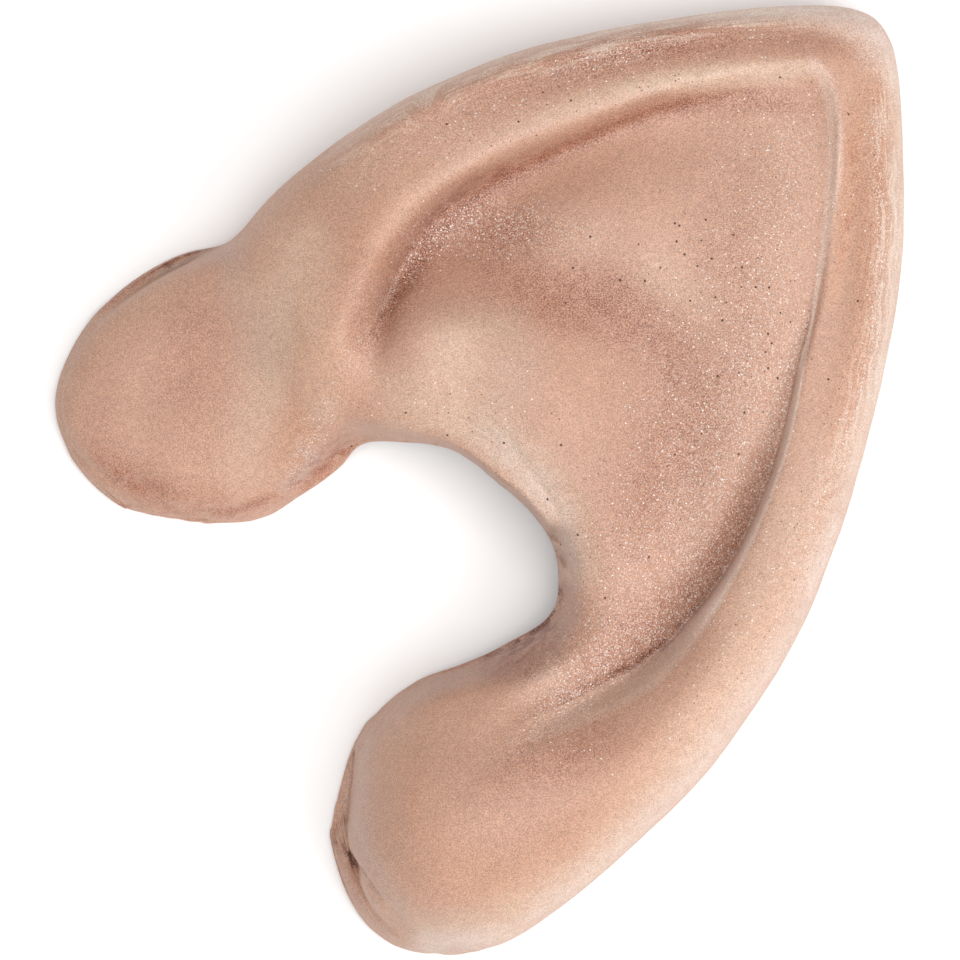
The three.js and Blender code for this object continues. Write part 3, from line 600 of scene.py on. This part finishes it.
# Painted rim light on the brinks, and painted light beside the cut-out.
WHITE_PAINTED_LIGHT = {
    "top rim's brink": [(-14, 34.6, 1.2, .25), (-4, 40.8, 1.3, .4), (8, 44.6, 1.5, .5),
                        (16, 46, 1.6, .6), (22, 46.8, 1.8, .6), (30, 47, 2.4, .55),
                        (36, 46.6, 3.4, .55), (39.4, 45.2, 3.8, .6), (41.8, 41, 3.2, .45)],
    "beside the cut-out": [(-3, 5.2, 2, .05), (3.2, 2, 2.6, .2), (7, -2.6, 2.6, .25),
                           (9, -7.4, 2, .15)],
    "right rim's brink": [(42.6, 38, 1.6, .3), (42.8, 26, 1.8, .35), (41.6, 14, 2, .35),
                          (38.6, 2, 2.4, .4), (34, -10, 3, .35)],
    "lower rim": [(36, -6, 3.4, .4), (31, -16, 3.4, .45), (23, -28, 4, .45), (14, -38, 4, .4),
                  (4, -45.4, 3, .4), (-5, -47, 2.6, .45)],
}
BRUSHED = {
    "top rim": [(-14, 32.6, 3, .3), (-4, 38.6, 3.4, .5), (8, 43, 3.4, .6), (22, 45.8, 3, .6),
                (34, 46.6, 3, .5)],
    "right rim": [(41, 40, 3.4, .5), (41.4, 26, 3.4, .7), (40.2, 14, 3.6, .6), (36.6, 2, 4.4, .4),
                  (31, -10, 5, .2)],
    "beside the cut-out": [(-8, 5, 2.6, .1), (0, 5.6, 3, .2), (5.4, 2, 3, .25), (9, -3.4, 3, .2),
                           (10.2, -9, 2.4, .1)],
}
print(len(BLOOM), "strokes of bloom,", len(WHITE_PAINTED_LIGHT), "of white and", len(BRUSHED), "of streaks")

# %% [markdown]
# Pinpoints of pale tint, small pits that hold brown wash, and pinholes left by air bubbles are
# scattered over the skin. Their strokes say how many there are at each place.

# %% Pinpoints, pits and pinholes
PINPOINTS_LAID = {
    "hollow": [(30, 34, 12, .35), (26, 18, 14, .4), (20, 2, 14, .4), (10, -14, 9, .35)],
    "fossa": [(-8, 18, 4, .5), (-4, 25, 5, .65), (4, 25, 6, .65)],
    "foot of the right ridge": [(32, 14, 2, .5), (30.4, 3, 2.6, .7), (26.6, -6, 3.4, .8),
                                (21.4, -13, 3.4, .8), (15, -18, 3, .7), (8, -21.6, 3, .5)],
    "top rim": [(-14, 30, 5, .25), (0, 37, 5, .35), (14, 42, 4, .45), (30, 44, 4, .35)],
    "right rim": [(40.6, 38, 3, .4), (41, 22, 3, .55), (38.6, 8, 4, .5), (33, -6, 5, .4),
                  (24, -18, 6, .3), (14, -28, 6, .2)],
    "antihelix": [(-10, 8, 5, .2), (2, 8, 7, .25)],
    "neck": [(-17, 4, 3, .5), (-15, 9, 3, .35)],
    "tail of the fold": [(12, -21, 4, .4), (6, -25, 4, .35), (10, -26, 5, .25)],
}
PITS_LAID = {
    "hollow": [(28, 34, 14, .35), (25, 16, 16, .4), (16, 0, 14, .35), (8, -14, 8, .25)],
    "antihelix": [(-8, 8, 7, .3), (4, 8, 9, .35)],
    "band under the top rim": [(-6, 32, 5, .35), (8, 37.4, 5, .45), (24, 40, 4, .45)],
    "right rim": [(39, 36, 5, .25), (39, 14, 5, .3), (32, -8, 7, .35), (22, -22, 7, .35)],
    "front lobe": [(-20, 14, 8, .15), (-30, 8, 8, .05)],
    "lower lobe": [(14, -32, 7, .3), (4, -42, 6, .15), (6, -28, 8, .12)],
}
PORES = {
    "scapha": [(12, 20, 8, .55), (24, 26, 9, .7), (27, 12, 9, .7), (20, 0, 9, .55),
               (10, -12, 7, .45)],
    "band under the top rim": [(-4, 34, 4, .45), (8, 37, 4, .5), (20, 38.4, 3, .55),
                               (32, 40, 3, .6)],
    "antihelix": [(-9, 8, 4, .4), (-2, 6, 5, .45), (6, 3, 5, .5), (10, -6, 5, .45)],
    "neck": [(-14, 5, 4, .4), (-17, 8, 3, .3)],
    "rim": [(38, 38, 4, .35), (39, 20, 4, .35), (32, -8, 5, .3)],
}
print(len(PINPOINTS_LAID) + len(PITS_LAID) + len(PORES), "strokes of dots")

# %% [markdown]
# The washes are saved on the skin as point attributes. A material can read such an attribute
# anywhere on the piece, and unlike a painted picture it needs no unwrapping. Tint from above
# thins out where a side turns steep, so each wash is weakened there, and it has no hard edge
# when the tip is seen from the side.


# %% Save the washes on the skin
def save(name, values, kind="FLOAT", field="value"):
    """Stores one value or one vector for each point of the skin."""
    layer = rounded.attributes.new(name, kind, "POINT")
    layer.data.foreach_set(field, np.ascontiguousarray(values, np.float32).ravel())


# The upward part of a normal where no tint stays on, and where all of it does.
NO_TINT, FULL_TINT = -.1, .4

xy = spots[:, :2]
facing_up = 1 - fade((normals[:, 2] - NO_TINT) / (FULL_TINT - NO_TINT))
washes = {"brown": BROWN, "dark": DARK_TINT_AND_SHADE, "pale": PALE_PAINTED_LIGHT, "grey": GREY_TINT_AND_PAINTED_LIGHT, "warm": WARM, "red": RED,
          "bloom": BLOOM, "white": WHITE_PAINTED_LIGHT, "brushed": BRUSHED, "pores": PORES,
          "pinpoints": PINPOINTS_LAID, "pits": PITS_LAID}
for name, layer in washes.items():
    strength = strokes(xy, layer) * sky * facing_up
    save(name, strength)
    print(name, "touches", round(100 * float((strength > 0).mean())), "% of the points")

# %% [markdown]
# The lip's painted highlight, the foot's brown wash and painted shade, and the fold end in a sharp
# line, so the distances to that line are saved with them. One more attribute holds places along
# and across the rim, squeezed sixteen times along it, so that streaks follow the outline.

# %% Save the lines on the skin
LIP_SHARES_KEPT = (-3, 4)
STREAK_STRETCH = 16

save("crest_side", crest_side)
save("lip_share", np.clip(lip_share, *LIP_SHARES_KEPT))
save("lip", lip_strength)
# Brown wash and painted shade: the dark foot under the right ridge's wall.
save("foot", foot_depth * fade(np.abs(crest_side) / foot_reach))
fold_apart, fold_side, _, fold_run = along_line(xy, FOLD)
save("fold_side", fold_side * np.minimum(fold_apart, FAR_FROM_CREST_MM))
save("fold", stroke(xy, FOLD) * sky)
print("the fold line is", round(float(fold_run[-1]), 1), "mm long")
save("rim_flow", np.column_stack((edge_place / STREAK_STRETCH, edge_apart,
                                  np.zeros(len(xy)))) * MM, "FLOAT_VECTOR", "vector")

# %% [markdown]
# ## Latex
# Slush-cast latex rubber, tinted to a flesh tone: a dense, slightly see-through rubber. Light
# enters it and comes out a little further on, which the shader's subsurface gives. Its skin is
# satin, with a fine tooth from the plaster mould, and its tints are mottled at every scale.


# %% Colours
def linear(hex_colour):
    """Linear colour of an sRGB hex value."""
    channels = [int(hex_colour[i:i + 2], 16) / 255 for i in (1, 3, 5)]
    return tuple(c / 12.92 if c <= 0.04045 else ((c + 0.055) / 1.055) ** 2.4
                 for c in channels) + (1.0,)


DEEPER_RUBBER, LIGHTER_RUBBER = "#c99c84", "#cfa28a"
print("the lighter rubber is", [round(channel, 3) for channel in linear(LIGHTER_RUBBER)[:3]])

# %% Nodes
latex = bpy.data.materials.new("slush_cast_latex_rubber")
latex.use_nodes = True
latex.node_tree.nodes.clear()


def add(kind, inputs=None, **settings):
    """Adds a node to the latex. Its inputs are values, or sockets to link, by name or number."""
    made = latex.node_tree.nodes.new(kind)
    for name, value in settings.items():
        setattr(made, name, value)
    for name, value in (inputs or {}).items():
        if isinstance(value, bpy.types.NodeSocket):
            latex.node_tree.links.new(value, made.inputs[name])
        else:
            made.inputs[name].default_value = value
    return made


def per_mm(size_mm):
    """Scale of a texture whose features are this many millimetres apart."""
    return 1 / (size_mm * MM)


# %% [markdown]
# Five sizes of noise break the tints up: clouds of a centimetre, mottling of 1.5 mm, blotches of
# half a millimetre, the tooth of the plaster, and specks of pale bloom. Tooth and specks are
# finer on the real skin, but below a seventh of a millimetre they would not show, so they are
# drawn that coarse. A last noise runs in streaks along the rim, where the clay was brushed.

# %% Textures
CLOUD_MM, MOTTLE_MM, BLOTCH_MM, TOOTH_MM, SPECK_MM, STREAK_MM = 10, 1.5, .6, .14, .14, .4
# Tooth and specks are of one size, so the specks are another slice, cut from a 4-D noise.
SPECK_SLICE = 4.0

place_on_skin = add("ShaderNodeTexCoord").outputs["Object"]
clouds = add("ShaderNodeTexNoise", {
    "Vector": place_on_skin, "Scale": per_mm(CLOUD_MM), "Detail": 2.0}).outputs["Fac"]
mottle = add("ShaderNodeTexNoise", {
    "Vector": place_on_skin, "Scale": per_mm(MOTTLE_MM), "Detail": 3.0,
    "Roughness": .6}).outputs["Fac"]
blotches = add("ShaderNodeTexNoise", {
    "Vector": place_on_skin, "Scale": per_mm(BLOTCH_MM), "Detail": 1.0}).outputs["Fac"]
tooth = add("ShaderNodeTexNoise", {
    "Vector": place_on_skin, "Scale": per_mm(TOOTH_MM), "Detail": 1.0}).outputs["Fac"]
specks = add("ShaderNodeTexNoise", {
    "Vector": place_on_skin, "Scale": per_mm(SPECK_MM), "Detail": 0.0, "W": SPECK_SLICE},
    noise_dimensions="4D").outputs["Fac"]
rim_flow = add("ShaderNodeAttribute", attribute_name="rim_flow").outputs["Vector"]
streaks = add("ShaderNodeTexNoise", {
    "Vector": rim_flow, "Scale": per_mm(STREAK_MM), "Detail": 2.0,
    "Roughness": .6}).outputs["Fac"]

# %% [markdown]
# Each texture is stretched into a cover: how much of a tint gets through at each point. A smooth
# tint goes on with the broken cover, and one that lies in the tooth of the skin with the gritty.
# Inputs 1 and 2 of a Map Range are the values that it stretches from, and 3 and 4 those that it
# stretches to.

# %% Covers
broken = add("ShaderNodeMapRange", {0: mottle, 1: .3, 2: .7, 3: .7, 4: 1.15},
             interpolation_type="SMOOTHSTEP").outputs[0]
patchy = add("ShaderNodeMapRange", {0: mottle, 1: .38, 2: .6, 3: .1, 4: 1.2},
             interpolation_type="SMOOTHSTEP").outputs[0]
grit = add("ShaderNodeMapRange", {0: tooth, 1: .36, 2: .62, 3: 1.3, 4: .5},
           interpolation_type="SMOOTHSTEP").outputs[0]
gritty = add("ShaderNodeMath", {0: broken, 1: grit}, operation="MULTIPLY").outputs[0]
patchy_grit = add("ShaderNodeMath", {0: patchy, 1: grit}, operation="MULTIPLY").outputs[0]
speckled = add("ShaderNodeMapRange", {0: specks, 1: .55, 2: .68, 3: 0, 4: .85},
               interpolation_type="SMOOTHSTEP").outputs[0]
streaky = add("ShaderNodeMapRange", {0: streaks, 1: .45, 2: .62, 3: 0, 4: 1},
              interpolation_type="SMOOTHSTEP").outputs[0]

# %% [markdown]
# The foot's brown wash and painted shade, the fold, and the lip's painted highlight end in a sharp
# line, which the points of the skin are too far apart to hold. So the line is drawn here, from the
# saved distances.

# %% Covers that end in a line
before_crest = add("ShaderNodeMapRange", {
    0: add("ShaderNodeAttribute", attribute_name="crest_side").outputs["Fac"],
    1: -.05, 2: .1, 3: 1, 4: 0}).outputs[0]
hollow_side_of_crest = add("ShaderNodeMath", {0: before_crest, 1: gritty},
                           operation="MULTIPLY").outputs[0]
past_fold = add("ShaderNodeMapRange", {
    0: add("ShaderNodeAttribute", attribute_name="fold_side").outputs["Fac"],
    1: -.5, 2: .35, 3: 1, 4: 0}, interpolation_type="SMOOTHSTEP").outputs[0]
hollow_side_of_fold = add("ShaderNodeMath", {0: past_fold, 1: gritty},
                          operation="MULTIPLY").outputs[0]
across_lip = add("ShaderNodeAttribute", attribute_name="lip_share").outputs["Fac"]
lip_begins = add("ShaderNodeMapRange", {0: across_lip, 1: -.2, 2: .2, 3: 0, 4: 1}).outputs[0]
lip_ends = add("ShaderNodeMapRange", {0: across_lip, 1: .75, 2: 1.1, 3: .85, 4: 0}).outputs[0]
on_the_lip = add("ShaderNodeMath", {0: lip_begins, 1: lip_ends}, operation="MULTIPLY").outputs[0]

# %% [markdown]
# The tints go over the body colour one after another. The warmer rubber comes first, then the
# painted highlights, the painted rim light and the grey. Then come the brown and red washes and
# the fold, then the foot and the dark tint with their painted shade. After these comes the lip's
# painted highlight, and last the pale streaks and bloom.


# %% Lay the washes over each other
def wash(below, layer, cover, tint):
    """Lays a tint over a colour where a saved wash is, as far as its cover lets it through."""
    saved = add("ShaderNodeAttribute", attribute_name=layer)
    share = add("ShaderNodeMath", {0: saved.outputs["Fac"], 1: cover}, operation="MULTIPLY",
                use_clamp=True)
    return add("ShaderNodeMix", {0: share.outputs[0], 6: below, 7: linear(tint)},
               data_type="RGBA").outputs[2]


cloud_share = add("ShaderNodeMapRange", {0: clouds, 1: .35, 2: .65, 3: 0, 4: 1},
                  interpolation_type="SMOOTHSTEP").outputs[0]
skin_tone = add("ShaderNodeMix", {0: cloud_share, 6: linear(DEEPER_RUBBER),
                                  7: linear(LIGHTER_RUBBER)}, data_type="RGBA").outputs[2]
skin_tone = wash(skin_tone, "warm", broken, "#d09a78")
# Painted highlights and painted rim light.
skin_tone = wash(skin_tone, "pale", broken, "#dfc1ab")
# Painted rim light on the brinks, and painted light beside the cut-out.
skin_tone = wash(skin_tone, "white", broken, "#f4e2d6")
# Grey tint. On the lower lobe's edge it is painted light.
skin_tone = wash(skin_tone, "grey", broken, "#c9b0a4")
skin_tone = wash(skin_tone, "brown", gritty, "#985a42")
skin_tone = wash(skin_tone, "red", patchy_grit, "#a0583f")
skin_tone = wash(skin_tone, "fold", hollow_side_of_fold, "#8c5038")
# Brown wash and painted shade at the foot under the right ridge's wall.
skin_tone = wash(skin_tone, "foot", hollow_side_of_crest, "#96604a")
# Dark tint. In the cracks, in the crevice and at the foot it is painted shade.
skin_tone = wash(skin_tone, "dark", patchy_grit, "#6e3a2b")
# Painted highlight: the pale lip along the crest, where its edge catches the lamp, laid over the
# top of the shaded wall as well.
skin_tone = wash(skin_tone, "lip", on_the_lip, "#f0d6c7")
skin_tone = wash(skin_tone, "brushed", streaky, "#e9d3c2")
skin_tone = wash(skin_tone, "bloom", speckled, "#ecd9cf")

# %% [markdown]
# Air bubbles in the plaster left pinholes in the rubber. A cell texture has one point in each of
# its cells, so a small disc round each point gives scattered holes. A cell keeps its hole only
# where its own random value is under the saved layer's, so that some places have more of them.
# Smaller pits hold a trace of brown wash, and pinpoints of pale tint stand on the tooth. A dot
# is full out to half its radius and soft from there on.

# %% Pinholes and pinpoints
PINHOLES = {"layer": "pores", "spacing_mm": 1.1, "radius_mm": .15, "tint": "#52291a"}
PITS = {"layer": "pits", "spacing_mm": .6, "radius_mm": .1, "tint": "#84452a"}
PINPOINTS = {"layer": "pinpoints", "spacing_mm": .4, "radius_mm": .1, "tint": "#fbeee6"}
FULL_TO = .5


def dotted(below, layer, spacing_mm, radius_mm, tint):
    """Lays small round dots over a colour, as many as a saved layer says, and gives both."""
    cells = add("ShaderNodeTexVoronoi", {"Vector": place_on_skin, "Scale": per_mm(spacing_mm)})
    radius = radius_mm / spacing_mm
    disc = add("ShaderNodeMapRange", {0: cells.outputs["Distance"], 1: radius * FULL_TO, 2: radius,
                                      3: 1, 4: 0}, interpolation_type="SMOOTHSTEP")
    saved = add("ShaderNodeAttribute", attribute_name=layer)
    kept = add("ShaderNodeMath", {0: cells.outputs["Color"], 1: saved.outputs["Fac"]},
               operation="LESS_THAN")
    dots = add("ShaderNodeMath", {0: disc.outputs[0], 1: kept.outputs[0]}, operation="MULTIPLY")
    laid = add("ShaderNodeMix", {0: dots.outputs[0], 6: below, 7: linear(tint)},
               data_type="RGBA")
    return laid.outputs[2], dots.outputs[0]


skin_tone, _ = dotted(skin_tone, **PINPOINTS)
skin_tone, _ = dotted(skin_tone, **PITS)
skin_tone, pinholes = dotted(skin_tone, **PINHOLES)

# %% [markdown]
# Under all tints the rubber's own grain darkens and lightens each speck of the surface a little.
# The same textures raise it: the tooth stands out finely, and the pinholes go in.

# %% Grain and relief
TOOTH_HEIGHT_MM, PINHOLE_DEPTH_MM = .06, .1

grain = add("ShaderNodeMapRange", {0: tooth, 1: .27, 2: .73, 3: .58, 4: 1.06}).outputs[0]
blotch = add("ShaderNodeMapRange", {0: blotches, 1: .3, 2: .7, 3: .94, 4: 1.03}).outputs[0]
grained = add("ShaderNodeVectorMath", {0: skin_tone, 3: grain}, operation="SCALE").outputs[0]
grained = add("ShaderNodeVectorMath", {0: grained, 3: blotch}, operation="SCALE").outputs[0]
tooth_height = add("ShaderNodeMath", {0: tooth, 1: TOOTH_HEIGHT_MM * MM},
                   operation="MULTIPLY").outputs[0]
height = add("ShaderNodeMath", {0: pinholes, 1: -PINHOLE_DEPTH_MM * MM, 2: tooth_height},
             operation="MULTIPLY_ADD").outputs[0]
raised = add("ShaderNodeBump", {"Height": height, "Strength": .7, "Distance": 1.0}).outputs[0]

# %% [markdown]
# Cured latex has an index of refraction of about 1.52. The plaster leaves it satin, so its
# roughness is about a half. Red light goes furthest into it, about a millimetre, green not quite
# half as far and blue a third.

# %% Shader
SEEN_INTO_MM = 1.0

shader = add("ShaderNodeBsdfPrincipled", {
    "Base Color": grained, "Roughness": .52, "IOR": 1.52, "Subsurface Weight": .12,
    "Subsurface Radius": (1.0, .45, .3), "Subsurface Scale": SEEN_INTO_MM * MM, "Normal": raised})
add("ShaderNodeOutputMaterial", {"Surface": shader.outputs[0]})
rounded.materials.clear()
rounded.materials.append(latex)
rounded.polygons.foreach_set("use_smooth", [True] * len(rounded.polygons))
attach(skin, "root")
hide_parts("ear_skin")
print("the latex has", len(latex.node_tree.nodes), "nodes")

# %% [markdown]
# ## The floor, the light and the camera
# The tip lies on a plain pale table and is seen from straight above, as a catalogue shows it.

# %% Floor
FLOOR_REACH_M, FLOOR_GAP_MM = 3.0, .02

bed = bmesh.new()
bmesh.ops.create_grid(bed, x_segments=1, y_segments=1, size=FLOOR_REACH_M,
                      matrix=Matrix.Translation((0, 0, cad_low.z - FLOOR_GAP_MM * MM)))
floor_mesh = bpy.data.meshes.new("floor")
bed.to_mesh(floor_mesh)
bed.free()
floor = bpy.data.objects.new("floor", floor_mesh)
bpy.context.scene.collection.objects.link(floor)
paper = bpy.data.materials.new("white_paper")
paper.use_nodes = True
paper_shader = paper.node_tree.nodes["Principled BSDF"]
paper_shader.inputs["Base Color"].default_value = linear("#fdfdfd")
paper_shader.inputs["Roughness"].default_value = .9
floor_mesh.materials.append(paper)
print("the floor is", 2 * FLOOR_REACH_M, "m wide")

# %% [markdown]
# A wide softbox overhead gives the soft light of the photo, and a smaller one from the lower
# right models the folds. A pale room fills the shade. Places and sides are in metres, powers in
# watts.


# %% Light
def soft_light(name, spot_from, size, power):
    """Sets up a square lamp that faces the middle of the tip."""
    lamp = bpy.data.lights.new(name, "AREA")
    lamp.shape, lamp.size, lamp.energy = "SQUARE", size, power
    holder = bpy.data.objects.new(name, lamp)
    bpy.context.scene.collection.objects.link(holder)
    holder.location = spot_from
    holder.rotation_mode = "QUATERNION"
    holder.rotation_quaternion = (middle - Vector(spot_from)).to_track_quat("-Z", "Y")


soft_light("overhead_softbox", (.05, -.05, .8), .7, 4.5)
soft_light("right_softbox", (.42, -.24, .42), .4, 2.1)
world = bpy.data.worlds.new("pale_room")
world.use_nodes = True
world.node_tree.nodes["Background"].inputs["Color"].default_value = (1, 1, 1, 1)
world.node_tree.nodes["Background"].inputs["Strength"].default_value = .5
bpy.context.scene.world = world
bpy.context.scene.view_settings.view_transform = "Standard"
print("lamps:", sorted(lamp.name for lamp in bpy.data.lights))

# %% [markdown]
# The photo was taken from straight above and far away, so a long lens looks straight down. It
# takes in a square of 96 mm at the height of the folds.

# %% Camera
PHOTO_SIDE_MM, LENS_MM, SENSOR_MM = 96.0, 400.0, 36.0
AIM_MM = (.1, 8)
NEAR_SHARE, FAR_SHARE = .1, 4

camera_data = bpy.data.cameras.new("camera")
camera_data.sensor_width = SENSOR_MM
camera_data.lens = LENS_MM
camera = bpy.data.objects.new("camera", camera_data)
bpy.context.scene.collection.objects.link(camera)
distance = PHOTO_SIDE_MM * MM * LENS_MM / SENSOR_MM
camera.location = (middle.x + AIM_MM[0] * MM, middle.y, cad_low.z + AIM_MM[1] * MM + distance)
camera_data.clip_start, camera_data.clip_end = distance * NEAR_SHARE, distance * FAR_SHARE
bpy.context.scene.camera = camera
print("the camera stands", round(distance, 3), "m above the tip")
